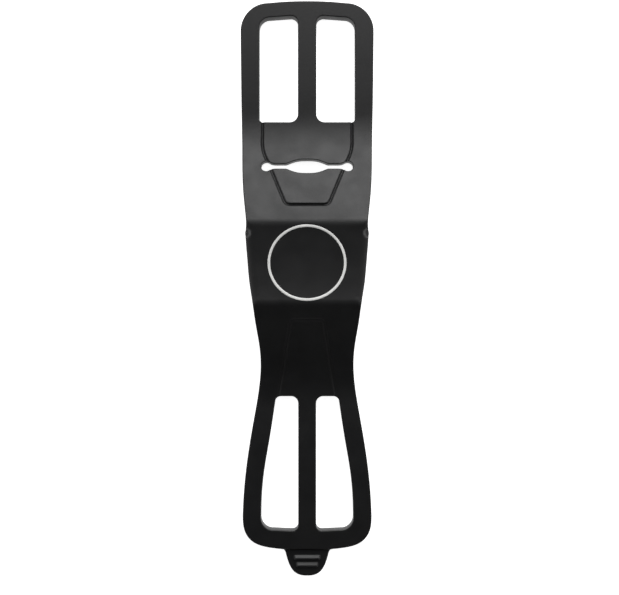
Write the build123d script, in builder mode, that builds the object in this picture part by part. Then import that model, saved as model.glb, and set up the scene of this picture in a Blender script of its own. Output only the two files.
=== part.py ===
from build123d import *
import math
import os

# A stretch phone mount for a handlebar: one silicone moulding, with a ring printed on its pad.
# Millimetres. It lies flat with its pad up: +Y runs from the pull tab to the slotted end, +Z is up,
# and the origin is the middle of the surface that it lies on. The moulding is cut where it flexes,
# into sections that stay stiff and the short webs between them.

# ---- the whole moulding
HALF_LENGTH = 95.0
STRAP_THICKNESS = 3.5
PAD_HEIGHT = 15.5
BEND_RADIUS = 32.0  # where a level strap turns up towards the pad
REACH = 30.0  # how far the blanks run sideways, past every edge
CLEAR_HEIGHT = 20.0  # how far upright cuts run, past the pad
UP = (0, 0, 1)

# ---- the pad and the saddle under it
UPPER_RIDGE_Y = 20.6
LOWER_RIDGE_Y = -4.9
PAD_Y = (UPPER_RIDGE_Y + LOWER_RIDGE_Y) / 2
PAD_DISH = 1.0
RIDGE_ROUNDING = 1.2
SADDLE_RADIUS = 12.7  # a bar of 25.4 mm
SADDLE_APEX_Z = 10.3
SADDLE_HALF_WIDTH = 13.0
LIP_Z = 5.0
LIP_ROUNDING = 0.6

# ---- a small notch in each side edge of the pad
NOTCH_X = 16.6
NOTCH_Y = 16.9
NOTCH_LENGTH = 3.2
NOTCH_DEPTH = 1.2

# ---- the slopes on each side of the pad, in degrees from level
UPPER_SLOPE = 21.6
LOWER_SLOPE = 24.7

# ---- the printed ring
RING_RADIUS = 12.4
RING_BAND = 0.9
PRINT_DEPTH = 0.3

# ---- windows
CENTRE_BAR_HALF = 2.9
UPPER_WINDOW_X = 16.2
UPPER_WINDOW_LOW = 54.9
UPPER_WINDOW_HIGH = 90.1
LOWER_WINDOW_HIGH = -35.8
LOWER_WINDOW_LOW = -80.1

# ---- the slot
SLOT_Y = 39.2
SLOT_HALF = 13.3
SLIT_WIDTH = 1.6
END_HOLE_RADIUS = 1.7
LENS_HALF_LENGTH = 6.2
LENS_HALF_HEIGHT = 2.4

# ---- the moulded grooves
GROOVE_WIDTH = 1.4
GROOVE_DEPTH = 0.5

# ---- the flexing webs
CREASE_WEB = 4.0
SLOT_WEB_HALF = 2.5
SLOT_BAND_X = 13.0  # the bands beside the slot start inside its end holes
WAIST_Y = -25.4
WAIST_WEB_HALF = 2.5
RAIL_WEB = 4.5
UPPER_END_WEB_X = (4.5, 9.0)
LOWER_END_WEB_X = (7.2, 11.7)

# ---- the pull tab
TAB_ROOT_Y = -86.4
TAB_WEB = 2.2
TAB_THICKNESS = 2.5
RIB_RISE = 0.8
RIB_WIDTH = 1.2
RIBS = ((8.4, -89.7), (6.8, -92.0))  # each rib's length, and its place along Y


def strap_side(ridge_y, slope, away):
    """One strap in side view: its bend's top and underside, and where it meets the saddle."""
    angle = math.radians(slope)
    bend_rise = BEND_RADIUS * (1 - math.cos(angle))
    straight_run = (PAD_HEIGHT - STRAP_THICKNESS - bend_rise) / math.tan(angle)
    bend_y = ridge_y + away * (straight_run + BEND_RADIUS * math.sin(angle))
    centre_z = STRAP_THICKNESS + BEND_RADIUS

    def bend(radius):
        turns = (0, angle / 2, angle)
        return [
            (bend_y - away * radius * math.sin(turn), centre_z - radius * math.cos(turn))
            for turn in turns
        ]

    top = bend(BEND_RADIUS)
    under = bend(BEND_RADIUS + STRAP_THICKNESS)
    root_y = PAD_Y + away * SADDLE_HALF_WIDTH
    root_z = under[2][1] + abs(under[2][0] - root_y) * math.tan(angle)
    return top, under, (root_y, root_z)


# ---- the moulding in side view, Y across and Z up
upper_top, upper_under, upper_root = strap_side(UPPER_RIDGE_Y, UPPER_SLOPE, 1)
lower_top, lower_under, lower_root = strap_side(LOWER_RIDGE_Y, LOWER_SLOPE, -1)
bar_z = SADDLE_APEX_Z - SADDLE_RADIUS
lip_y = math.sqrt(SADDLE_RADIUS**2 - (LIP_Z - bar_z) ** 2)
upper_ridge = (UPPER_RIDGE_Y, PAD_HEIGHT)
lower_ridge = (LOWER_RIDGE_Y, PAD_HEIGHT)

with BuildSketch() as side_view:
    with BuildLine():
        Polyline(upper_under[0], (HALF_LENGTH, 0), (HALF_LENGTH, STRAP_THICKNESS), upper_top[0])
        ThreePointArc(*upper_top)
        Line(upper_top[2], upper_ridge)
        ThreePointArc(upper_ridge, (PAD_Y, PAD_HEIGHT - PAD_DISH), lower_ridge)
        Line(lower_ridge, lower_top[2])
        ThreePointArc(*reversed(lower_top))
        Polyline(lower_top[0], (-HALF_LENGTH, STRAP_THICKNESS), (-HALF_LENGTH, 0), lower_under[0])
        ThreePointArc(*lower_under)
        Polyline(lower_under[2], lower_root, (lower_root[0], LIP_Z), (PAD_Y - lip_y, LIP_Z))
        ThreePointArc((PAD_Y - lip_y, LIP_Z), (PAD_Y, SADDLE_APEX_Z), (PAD_Y + lip_y, LIP_Z))
        Polyline((PAD_Y + lip_y, LIP_Z), (upper_root[0], LIP_Z), upper_root, upper_under[2])
        ThreePointArc(*reversed(upper_under))
    make_face()
    ridges = side_view.vertices().filter_by_position(Axis.Y, PAD_HEIGHT - 0.1, PAD_HEIGHT + 0.1)
    fillet(ridges, radius=RIDGE_ROUNDING)
    lip_edges = side_view.vertices().filter_by(
        lambda corner: abs(corner.Y - LIP_Z) < 0.1 and abs(corner.X - PAD_Y) > lip_y + 0.1
    )
    fillet(lip_edges, radius=LIP_ROUNDING)

# ---- the moulding's edge seen from above
with BuildSketch() as outline:
    with BuildLine():
        end = ThreePointArc((0, HALF_LENGTH), (6.5, 94.85), (12.8, 94.35))
        corner = ThreePointArc(end @ 1, (19.3, 91.4), (21.8, 85.0))
        side = Spline(
            corner @ 1, (21.4, 55.6), (20.1, 30.5), (19.1, 17.0), (17.2, -3.0),
            (15.1, -23.4), (16.5, -37.6), (18.9, -51.6), (20.7, -66.5), (21.2, -75.4),
        )
        foot = Spline(
            side @ 1, (20.4, -80.5), (18.0, -83.6), (14.0, -85.3), (9.2, -86.0),
            tangents=[(0, -1), (-1, 0)],
        )
        tab_root = ThreePointArc(foot @ 1, (7.7, -86.6), (7.1, -87.6))
        Spline(
            tab_root @ 1, (6.1, -90.8), (3.9, -94.0), (0, -HALF_LENGTH),
            tangents=[(-0.1, -1), (-1, 0)],
        )
        mirror(about=Plane.YZ)
    make_face()

# ---- the openings seen from above: the windows, and the slot with its end holes and its lens
with BuildSketch() as upper_windows:
    with BuildLine():
        FilletPolyline(
            (CENTRE_BAR_HALF, UPPER_WINDOW_LOW),
            (UPPER_WINDOW_X, UPPER_WINDOW_LOW),
            (UPPER_WINDOW_X, UPPER_WINDOW_HIGH - 0.6),
            (CENTRE_BAR_HALF, UPPER_WINDOW_HIGH),
            radius=(2.5, 1.0, 3.6, 2.3),
            close=True,
        )
    make_face()
    mirror(about=Plane.YZ)

with BuildSketch() as lower_windows:
    with BuildLine():
        inner = Line((CENTRE_BAR_HALF, LOWER_WINDOW_LOW), (CENTRE_BAR_HALF, LOWER_WINDOW_HIGH))
        head = Line(inner @ 1, (10.3, LOWER_WINDOW_HIGH))
        outer = Spline(head @ 1, (12.5, -50.0), (14.4, -61.5), (15.2, -73.0), (15.3, -79.6))
        Line(outer @ 1, inner @ 0)
    make_face()
    fillet(lower_windows.vertices().group_by(Axis.Y)[-1], radius=1.5)
    fillet(lower_windows.vertices().sort_by(Axis.X)[-1], radius=4.0)
    fillet(lower_windows.vertices().group_by(Axis.Y)[0].sort_by(Axis.X)[0], radius=2.3)
    mirror(about=Plane.YZ)

with BuildSketch() as slot:
    with Locations((0, SLOT_Y)):
        Rectangle(2 * SLOT_HALF, SLIT_WIDTH)
    with Locations((SLOT_HALF, SLOT_Y), (-SLOT_HALF, SLOT_Y)):
        Circle(END_HOLE_RADIUS)
    with BuildLine():
        for side_of_slit in (1, -1):
            ThreePointArc(
                (-LENS_HALF_LENGTH, SLOT_Y),
                (0, SLOT_Y + side_of_slit * LENS_HALF_HEIGHT),
                (LENS_HALF_LENGTH, SLOT_Y),
            )
    make_face()

# ---- the grooves seen from above: a shield round the slot, and a trapezoid down the lower strap
with BuildSketch() as groove_lines:
    with BuildLine():
        FilletPolyline(
            (14.8, UPPER_WINDOW_LOW + 1), (14.8, 45.0), (SLOT_HALF - 0.6, SLOT_Y + 1), radius=3.0
        )
        FilletPolyline((SLOT_HALF - 0.9, SLOT_Y), (6.9, 26.4), (0, 26.4), radius=1.6)
        trapezoid = Line((0, -10.2), (4.2, -10.2))
        turn = TangentArc(trapezoid @ 1, (5.5, -11.6), tangent=(1, 0))
        ThreePointArc(turn @ 1, (6.9, -20.4), (9.5, LOWER_WINDOW_HIGH - 1))
        mirror(about=Plane.YZ)
    trace(line_width=GROOVE_WIDTH)


def sideways(sunk=0.0):
    """The plane of the side view at the blank's left end, lowered by the amount sunk."""
    return Plane((-REACH, 0, -sunk), x_dir=(0, 1, 0), z_dir=(1, 0, 0))


def below_surface(depth):
    """The moulding's side view run across its whole width, lowered by a depth."""
    with BuildPart() as blank:
        extrude(sideways(depth) * side_view.sketch, amount=2 * REACH, dir=(1, 0, 0))
    return blank.part


with BuildPart() as grooves:
    extrude(groove_lines.sketch, amount=CLEAR_HEIGHT, dir=UP)
    add(below_surface(GROOVE_DEPTH), mode=Mode.SUBTRACT)

with BuildPart() as badge_ring:
    with BuildSketch():
        with Locations((0, PAD_Y)):
            Circle(RING_RADIUS)
            Circle(RING_RADIUS - RING_BAND, mode=Mode.SUBTRACT)
    extrude(amount=CLEAR_HEIGHT, dir=UP)
    add(below_surface(0), mode=Mode.INTERSECT)
    add(below_surface(PRINT_DEPTH), mode=Mode.SUBTRACT)

with BuildPart() as moulding:
    add(below_surface(0))
    extrude(outline.sketch, amount=CLEAR_HEIGHT, dir=UP, mode=Mode.INTERSECT)
    for opening in (upper_windows, lower_windows, slot):
        extrude(opening.sketch, amount=CLEAR_HEIGHT, dir=UP, mode=Mode.SUBTRACT)
    add(grooves.part, mode=Mode.SUBTRACT)
    add(badge_ring.part, mode=Mode.SUBTRACT)
    with Locations((0, (TAB_ROOT_Y - HALF_LENGTH) / 2, TAB_THICKNESS)):
        Box(
            REACH, HALF_LENGTH + TAB_ROOT_Y, STRAP_THICKNESS,
            align=(Align.CENTER, Align.CENTER, Align.MIN), mode=Mode.SUBTRACT,
        )
    with Locations((NOTCH_X, NOTCH_Y, PAD_HEIGHT), (-NOTCH_X, NOTCH_Y, PAD_HEIGHT)):
        Cylinder(NOTCH_LENGTH / 2, 2 * (NOTCH_DEPTH + PAD_DISH / 2), mode=Mode.SUBTRACT)
    for away in (1, -1):
        with Locations((away * (NOTCH_X + REACH / 2), NOTCH_Y, PAD_HEIGHT)):
            Box(REACH, NOTCH_LENGTH, 2 * (NOTCH_DEPTH + PAD_DISH / 2), mode=Mode.SUBTRACT)

# ---- the cuts between sections, from the slotted end to the pull tab
upper_crease = PAD_Y + SADDLE_HALF_WIDTH
lower_crease = PAD_Y - SADDLE_HALF_WIDTH
slot_high = SLOT_Y + SLOT_WEB_HALF
slot_low = SLOT_Y - SLOT_WEB_HALF
waist_high = WAIST_Y + WAIST_WEB_HALF
waist_low = WAIST_Y - WAIST_WEB_HALF
upper_rail_cut = UPPER_WINDOW_LOW + RAIL_WEB
lower_rail_cut = LOWER_WINDOW_HIGH - RAIL_WEB
mid_lower_window = (LOWER_WINDOW_HIGH + LOWER_WINDOW_LOW) / 2
tab_cut = TAB_ROOT_Y - TAB_WEB
upper_end = HALF_LENGTH + 1
lower_end = -upper_end

# Each section is the moulding inside upright blocks: x from, x to, y from, y to.
regions = {
    "saddle_pad": [(-REACH, REACH, lower_crease, upper_crease)],
    "upper_crease_web": [(-REACH, REACH, upper_crease, upper_crease + CREASE_WEB)],
    "upper_strap": [
        (-REACH, REACH, upper_crease + CREASE_WEB, slot_low),
        (-SLOT_BAND_X, SLOT_BAND_X, slot_low, SLOT_Y - SLIT_WIDTH / 4),
    ],
    "upper_yoke": [
        (-SLOT_BAND_X, SLOT_BAND_X, SLOT_Y + SLIT_WIDTH / 4, slot_high),
        (-REACH, REACH, slot_high, UPPER_WINDOW_LOW),
    ],
    "upper_centre_bar": [
        (-UPPER_END_WEB_X[1], UPPER_END_WEB_X[1], UPPER_WINDOW_LOW, upper_rail_cut),
        (-UPPER_END_WEB_X[0], UPPER_END_WEB_X[0], upper_rail_cut, upper_end),
    ],
    "lower_crease_web": [(-REACH, REACH, lower_crease - CREASE_WEB, lower_crease)],
    "lower_strap": [(-REACH, REACH, waist_high, lower_crease - CREASE_WEB)],
    "lower_waist_web": [(-REACH, REACH, waist_low, waist_high)],
    "lower_yoke": [(-REACH, REACH, LOWER_WINDOW_HIGH, waist_low)],
    "lower_centre_bar": [
        (-LOWER_END_WEB_X[0], LOWER_END_WEB_X[0], TAB_ROOT_Y, LOWER_WINDOW_HIGH)
    ],
    "tab_web": [(-LOWER_END_WEB_X[0], LOWER_END_WEB_X[0], tab_cut, TAB_ROOT_Y)],
}

# The right-hand sections, which have mirror images on the left.
right_regions = {
    "slot_band_{side}": [(SLOT_BAND_X, REACH, slot_low, slot_high)],
    "upper_{side}_rail_web": [(UPPER_END_WEB_X[1], REACH, UPPER_WINDOW_LOW, upper_rail_cut)],
    "upper_{side}_end_web": [(*UPPER_END_WEB_X, upper_rail_cut, upper_end)],
    "upper_{side}_loop": [(UPPER_END_WEB_X[1], REACH, upper_rail_cut, upper_end)],
    "lower_{side}_rail_web": [(LOWER_END_WEB_X[0], REACH, lower_rail_cut, LOWER_WINDOW_HIGH)],
    "lower_{side}_end_web": [(*LOWER_END_WEB_X, lower_end, mid_lower_window)],
    "lower_{side}_loop": [
        (LOWER_END_WEB_X[0], REACH, mid_lower_window, lower_rail_cut),
        (LOWER_END_WEB_X[1], REACH, lower_end, mid_lower_window),
    ],
}
for pattern, blocks in right_regions.items():
    regions[pattern.format(side="right")] = blocks
    regions[pattern.format(side="left")] = [(-far, -near, *rest) for near, far, *rest in blocks]


def section(name, blocks):
    """One stiff section or web: the moulding inside its upright blocks."""
    with BuildPart() as piece:
        add(moulding.part)
        with BuildSketch():
            for x_from, x_to, y_from, y_to in blocks:
                with Locations(((x_from + x_to) / 2, (y_from + y_to) / 2)):
                    Rectangle(x_to - x_from, y_to - y_from)
        extrude(amount=CLEAR_HEIGHT, dir=UP, mode=Mode.INTERSECT)
    piece.part.label = name
    return piece


with BuildPart() as pull_tab:
    add(section("pull_tab", [(-REACH, REACH, lower_end, tab_cut)]).part)
    for length, rib_y in RIBS:
        with Locations((0, rib_y, TAB_THICKNESS)):
            Box(length, RIB_WIDTH, RIB_RISE, align=(Align.CENTER, Align.CENTER, Align.MIN))

badge_ring.part.label = "badge_ring"
pull_tab.part.label = "pull_tab"

os.makedirs("parts", exist_ok=True)
export_step(badge_ring.part, "parts/badge_ring.step")
export_step(pull_tab.part, "parts/pull_tab.step")
for name, blocks in regions.items():
    export_step(section(name, blocks).part, f"parts/{name}.step")
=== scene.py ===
import math
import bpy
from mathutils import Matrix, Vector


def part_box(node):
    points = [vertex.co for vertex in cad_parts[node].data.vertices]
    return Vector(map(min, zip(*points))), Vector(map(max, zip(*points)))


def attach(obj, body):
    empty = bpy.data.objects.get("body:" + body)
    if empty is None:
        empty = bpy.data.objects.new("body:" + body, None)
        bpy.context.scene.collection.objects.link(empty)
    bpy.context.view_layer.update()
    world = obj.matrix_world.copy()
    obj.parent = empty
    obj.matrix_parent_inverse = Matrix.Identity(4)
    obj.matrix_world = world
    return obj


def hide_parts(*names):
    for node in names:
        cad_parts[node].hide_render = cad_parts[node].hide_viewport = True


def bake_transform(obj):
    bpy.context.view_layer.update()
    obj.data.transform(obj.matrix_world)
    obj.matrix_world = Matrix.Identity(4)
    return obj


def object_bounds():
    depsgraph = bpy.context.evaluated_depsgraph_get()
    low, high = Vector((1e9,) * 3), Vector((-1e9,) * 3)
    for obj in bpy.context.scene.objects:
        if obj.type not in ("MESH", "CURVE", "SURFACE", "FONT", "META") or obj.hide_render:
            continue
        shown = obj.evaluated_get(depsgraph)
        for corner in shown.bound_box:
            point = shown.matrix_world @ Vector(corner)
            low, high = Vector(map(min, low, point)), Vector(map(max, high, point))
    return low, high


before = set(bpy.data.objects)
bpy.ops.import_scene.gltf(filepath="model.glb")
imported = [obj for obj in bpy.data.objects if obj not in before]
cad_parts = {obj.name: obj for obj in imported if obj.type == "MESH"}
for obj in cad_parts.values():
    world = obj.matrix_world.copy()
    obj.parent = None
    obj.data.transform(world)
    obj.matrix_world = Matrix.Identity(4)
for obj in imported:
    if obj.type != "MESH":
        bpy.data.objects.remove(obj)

from types import SimpleNamespace

import bpy
import numpy as np
from mathutils import Vector

bl_info = {
    "name": "Silicone Phone Mount",
    "version": (1, 0, 0),
    "blender": (4, 5, 0),
    "location": "View3D > Sidebar > Phone Mount",
    "description": "Builds a stretch silicone phone mount, section by section, and a studio round it",
    "category": "Add Mesh",
}

MM = 0.001
CAD_LOW, CAD_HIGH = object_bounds()


def box_mm(node):
    """Lowest and highest corner of a node at rest, in millimetres."""
    low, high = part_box(node)
    return np.round(np.array(low) / MM, 3), np.round(np.array(high) / MM, 3)


# ---- cuts between the sections, in millimetres, all taken from the frame
PAD_LOW, PAD_HIGH = box_mm("saddle_pad")[0][1], box_mm("saddle_pad")[1][1]
UPPER_CREASE_END = box_mm("upper_crease_web")[1][1]
LOWER_CREASE_END = box_mm("lower_crease_web")[0][1]
SLOT_SHIFT = 0.35  # the slot stands this much nearer the slotted end than its bands in the frame
SLOT_LOW = box_mm("slot_band_right")[0][1] + SLOT_SHIFT
SLOT_HIGH = box_mm("slot_band_right")[1][1] + SLOT_SHIFT
WAIST_LOW, WAIST_HIGH = box_mm("lower_waist_web")[0][1], box_mm("lower_waist_web")[1][1]
UPPER_WINDOW_LOW = box_mm("upper_yoke")[1][1]
LOWER_WINDOW_HIGH = box_mm("lower_yoke")[0][1]
UPPER_RAIL_CUT = box_mm("upper_right_rail_web")[1][1]
LOWER_RAIL_CUT = box_mm("lower_right_rail_web")[0][1]
UPPER_END_WEB = box_mm("upper_right_end_web")[0][0], box_mm("upper_right_end_web")[1][0]
LOWER_END_WEB = box_mm("lower_right_end_web")[0][0], box_mm("lower_right_end_web")[1][0]
TAB_CUT, TAB_LOW = box_mm("tab_web")[1][1], box_mm("tab_web")[0][1]
TIP_Y = box_mm("pull_tab")[0][1]
TAB_REACH = 0.5  # the tab's rounded tip passes its box in the frame by this much
TOP_Y = box_mm("upper_centre_bar")[1][1]
PAD_MIDDLE = (PAD_LOW + PAD_HIGH) / 2
RIDGE_INSET = 0.25
UPPER_RIDGE, LOWER_RIDGE = PAD_HIGH - RIDGE_INSET, PAD_LOW + RIDGE_INSET
SLOT_Y = (SLOT_LOW + SLOT_HIGH) / 2
LIP_ROOM = 0.8

# ---- the outline's right side, x and y in millimetres, from the slotted end to the tab
TOP_ARC = ((0.0, TOP_Y), (6.5, 94.85), (12.8, 94.35))
CORNER_ARC = (TOP_ARC[-1], (19.5, 91.5), (22.03, 85.0))
SIDE = (
    CORNER_ARC[-1], (21.85, 68.0), (21.65, 55.6), (21.28, 44.5), (20.45, 30.5), (19.52, 23.2), (19.27, 20.4),
    (19.42, 17.2), (19.1, 10.5), (18.2, 1.0), (17.2, -5.2), (16.6, -10.5), (15.45, -19.0),
    (15.2, -24.5), (15.9, -33.0), (17.75, -44.0), (19.65, -55.6), (21.05, -69.0), (21.35, -75.4),
)
FOOT = (SIDE[-1], (20.6, -80.7), (18.1, -83.95), (14.0, -85.65), (9.2, -86.35))
TAB_FILLET = (FOOT[-1], (7.75, -86.85), (7.15, -87.8))
TAB_SIDE = (TAB_FILLET[-1], (6.15, -91.2), (3.9, -94.5), (0.0, TIP_Y - TAB_REACH))

# ---- windows: half the centre bar, and where each corner's quarter round starts and ends
BAR_HALF = 2.95
UPPER_INNER_FOOT = ((5.8, UPPER_WINDOW_LOW), (3.05, 57.6))
UPPER_OUTER_FOOT = ((14.7, UPPER_WINDOW_LOW), (15.85, 56.1))
UPPER_OUTER_HEAD = ((12.3, 89.55), (15.85, 86.0))
UPPER_INNER_HEAD = ((5.4, 90.05), (3.05, 87.75))
LOWER_INNER_HEAD = ((5.3, LOWER_WINDOW_HIGH), (BAR_HALF, -38.2))
LOWER_OUTER_HEAD = ((8.6, LOWER_WINDOW_HIGH), (10.65, -37.8))
LOWER_OUTER_FOOT = ((11.4, -80.1), (15.3, -76.0))
LOWER_INNER_FOOT = ((4.9, -80.4), (BAR_HALF, -78.4))
LOWER_WINDOW_SIDE = (LOWER_OUTER_HEAD[1], (12.5, -50.0), (14.4, -61.5), (15.2, -71.0), LOWER_OUTER_FOOT[1])

# ---- the scoops at the pad's sides, and the slot
SCOOP_Y = 17.3
SCOOP_HALF_WIDTH, SCOOP_HALF_LENGTH, SCOOP_DEPTH = 2.1, 1.85, 1.0
HOLE_X = 13.3
HOLE_RADIUS = (SLOT_HIGH - SLOT_LOW) / 2 - LIP_ROOM
SLIT_HALF = 0.82
LENS_HALF_HEIGHT = 2.35
LENS_HALF_LENGTH = 6.9

# ---- the tab's two grip ribs, each its half length and its place along Y, and how thin the tab is
RIBS = ((4.25, -89.5), (3.5, -91.9))
RIB_HEIGHT = 0.75
TAB_DROP = 0.9

# ---- moulded grooves, each a chain of straight runs with rounded turns
SHIELD_TOP = ((14.8, UPPER_WINDOW_LOW), (14.75, 44.6), (12.3, 40.1))
SHIELD_FOOT = ((11.7, 38.3), (6.85, 26.4), (0.0, 26.4))
TRAPEZOID = ((0.0, -10.2), (5.25, -10.2), (6.9, -20.4), (9.6, LOWER_WINDOW_HIGH))


def linear(code):
    """A #rrggbb sRGB colour as the linear values that shaders work in, with full alpha."""
    parts = [int(code[i:i + 2], 16) / 255 for i in (1, 3, 5)]
    return tuple(c / 12.92 if c <= 0.04045 else ((c + 0.055) / 1.055) ** 2.4 for c in parts) + (1.0,)


def length(name, description, millimetres):
    """A length property, stored in metres."""
    return bpy.props.FloatProperty(
        name=name, description=description, default=millimetres * MM,
        min=0, precision=4, subtype="DISTANCE", unit="LENGTH",
    )


def angle(name, description, degrees):
    """An angle property, stored in radians."""
    return bpy.props.FloatProperty(
        name=name, description=description, default=math.radians(degrees), subtype="ANGLE", unit="ROTATION",
    )


def colour(name, description, code):
    """A colour property, stored as linear values."""
    return bpy.props.FloatVectorProperty(
        name=name, description=description, default=linear(code), size=4, min=0, max=1, subtype="COLOR",
    )


class PhoneMountSizes(bpy.types.PropertyGroup):
    """Sizes that shape every section."""

    thickness: length("Strap thickness", "Thickness of the straps and frames", 3.5)
    pad_height: length("Pad height", "Height of the pad's two ridges", 15.5)
    dish: length("Dish", "How far the pad's middle lies below its ridges", 1.0)
    upper_slope: angle("Upper slope", "Fall of the strap above the pad", 21.6)
    lower_slope: angle("Lower slope", "Fall of the strap below the pad", 24.7)
    bend_radius: length("Bend radius", "Where a level strap turns up to the pad", 36.0)
    saddle_radius: length("Saddle radius", "Half the diameter of the bar", 12.7)
    saddle_apex: length("Saddle top", "Height of the saddle's highest line", 10.3)
    lip_height: length("Lip height", "Height of the saddle's two lips", 5.0)
    edge_round: length("Edge rounding", "Radius of the moulded top edges", 0.28)
    under_round: length("Underside rounding", "Radius of the underside's edges", 0.15)
    pad_roll: length("Pad roll-off", "How far in the pad's sides start to fall", 3.2)
    groove_depth: length("Groove depth", "Depth of the grooves round the slot", 0.6)
    groove_half: length("Groove half-width", "Half the width of the moulded grooves", 0.64)
    faint_depth: length("Faint groove depth", "Depth of the groove below the pad", 0.2)
    ring_radius: length("Ring radius", "Outer radius of the printed ring", 12.5)
    ring_band: length("Ring band", "Width of the printed line", 0.85)


class PhoneMountColours(bpy.types.PropertyGroup):
    """Colours of the two finishes and of the studio floor."""

    silicone: colour("Silicone", "Black liquid silicone rubber", "#0e0e0f")
    ink: colour("Print", "White silicone ink", "#e4e4e2")
    floor: colour("Floor", "White studio floor", "#f4f4f4")


def sizes_now():
    """The panel's sizes in millimetres, and its angles in radians."""
    group = bpy.context.scene.phone_mount_sizes
    values = {}
    for name, prop in group.bl_rna.properties.items():
        if prop.type == "FLOAT":
            values[name] = getattr(group, name) / (1 if prop.unit == "ROTATION" else MM)
    return SimpleNamespace(**values)


# ---- curves


def cubic(knots, values, at):
    """Natural cubic spline: cubics that meet with equal slope and bend, straight at the two ends."""
    knots, values, at = (np.asarray(a, float) for a in (knots, values, at))
    step = np.diff(knots)
    rise = np.diff(values) / step
    count = len(knots)
    matrix, right = np.eye(count), np.zeros(count)
    rows = np.arange(1, count - 1)
    matrix[rows, rows - 1] = step[:-1]
    matrix[rows, rows] = 2 * (step[:-1] + step[1:])
    matrix[rows, rows + 1] = step[1:]
    right[1:-1] = 6 * np.diff(rise)
    bend = np.linalg.solve(matrix, right)
    span = np.clip(np.searchsorted(knots, at) - 1, 0, count - 2)
    gone, left, width = at - knots[span], knots[span + 1] - at, step[span]
    return (
        (bend[span] * left**3 + bend[span + 1] * gone**3) / (6 * width)
        + (values[span] / width - bend[span] * width / 6) * left
        + (values[span + 1] / width - bend[span + 1] * width / 6) * gone
    )


def through(points, count):
    """A curve through points: each coordinate is a cubic spline of the distance along the chords."""
    points = np.array(points, float)
    along = np.concatenate(([0], np.cumsum(np.linalg.norm(np.diff(points, axis=0), axis=1))))
    at = np.linspace(0, along[-1], count)
    return np.stack([cubic(along, points[:, 0], at), cubic(along, points[:, 1], at)], axis=1)


def arc(points, count):
    """The circular arc through three points: equal turns about the point equally far from all three."""
    first, middle, last = (np.array(p, float) for p in points)
    matrix = 2 * np.array([middle - first, last - first])
    right = np.array([middle @ middle - first @ first, last @ last - first @ first])
    centre = np.linalg.solve(matrix, right)
    start, end = (math.atan2(*(p - centre)[::-1]) for p in (first, last))
    turn = (end - start + math.pi) % (2 * math.pi) - math.pi
    angle = start + np.linspace(0, 1, count) * turn
    radius = np.linalg.norm(first - centre)
    return centre + radius * np.stack([np.cos(angle), np.sin(angle)], axis=1)


def quarter(ends, count):
    """A corner's quarter round: level at its first end and upright at its second, a quarter ellipse."""
    (x0, y0), (x1, y1) = ends
    turn = np.linspace(0, math.pi / 2, count)
    return np.stack([x0 + (x1 - x0) * np.sin(turn), y0 + (y1 - y0) * (1 - np.cos(turn))], axis=1)


def line(first, last, count):
    """Equal steps along the straight line between two points."""
    return np.linspace(np.array(first, float), np.array(last, float), count)


def side_x(y):
    """Half the width at each y along the sides: a cubic spline through the side's points, and a bell
    curve where each scoop pushes the side out."""
    points = np.array(SIDE)[::-1]
    return cubic(points[:, 1], points[:, 0], y) + 0.25 * np.exp(-(((y - SCOOP_Y) / 1.3) ** 2))


def side(y_from, y_to, count):
    """The outline's side between two heights."""
    y = np.linspace(y_from, y_to, count)
    return np.stack([side_x(y), y], axis=1)


def lower_window_side(y_from, y_to, count):
    """The outer side of a lower window between two heights: a cubic spline through its points."""
    points = np.array(LOWER_WINDOW_SIDE)[::-1]
    y = np.linspace(y_from, y_to, count)
    return np.stack([cubic(points[:, 1], points[:, 0], y), y], axis=1)


def at_x(curve, x):
    """The curve's y at each x, for a curve on which x only rises or only falls."""
    order = np.argsort(curve[:, 0])
    return np.interp(x, curve[order, 0], curve[order, 1])


def at_y(curve, y):
    """The curve's x at each y, for a curve on which y only rises or only falls."""
    order = np.argsort(curve[:, 1])
    return np.interp(y, curve[order, 1], curve[order, 0])


def run_in_x(curve, start, end, count):
    """The stretch of a curve between two values of x, in equal steps of its own length."""
    at = np.linspace(start, end, 400)
    points = np.stack([at, at_x(curve, at)], axis=1)
    along = np.concatenate(([0], np.cumsum(np.linalg.norm(np.diff(points, axis=0), axis=1))))
    steps = np.linspace(0, along[-1], count)
    x = np.interp(steps, along, at)
    return np.stack([x, at_x(curve, x)], axis=1)


def turned(points, radius, count=14):
    """A chain of straight runs whose corners are rounded: each turn is a parabola between its runs."""
    points = [np.array(p, float) for p in points]
    pieces = [points[0][None]]
    for before, corner, after in zip(points, points[1:], points[2:]):
        start = corner + (before - corner) / np.linalg.norm(before - corner) * radius
        end = corner + (after - corner) / np.linalg.norm(after - corner) * radius
        t = np.linspace(0, 1, count)[:, None]
        pieces.append((1 - t) ** 2 * start + 2 * t * (1 - t) * corner + t**2 * end)
    return np.concatenate(pieces + [points[-1][None]])


TOP_CURVE = arc(TOP_ARC, 60)
CORNER_CURVE = arc(CORNER_ARC, 90)
FOOT_CURVE = through(FOOT, 120)
TAB_ROOT_CURVE = arc(TAB_FILLET, 24)
TAB_CURVE = through(TAB_SIDE + ((-3.9, -94.5),), 160)
TAB_CURVE = TAB_CURVE[TAB_CURVE[:, 0] >= 0]
TAB_CURVE[-1] = TAB_SIDE[-1]


def slot_half(x):
    """Half the slot's height at x: a slit that swells to a lens, by a cosine of the 1.5th power of the
    share of its length, and to each end hole by a bell curve; near a hole it is at least the
    circle's half chord."""
    x = np.abs(x)
    lens = np.cos(np.clip(x / LENS_HALF_LENGTH, 0, 1) ** 1.5 * math.pi / 2) ** 1.25
    flare = 0.8 * np.exp(-(((x - HOLE_X) / 1.5) ** 2))
    hole = np.sqrt(np.clip(HOLE_RADIUS**2 - (HOLE_X - x) ** 2, 0, None))
    return np.maximum(SLIT_HALF + (LENS_HALF_HEIGHT - SLIT_HALF) * lens + flare, hole)


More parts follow.
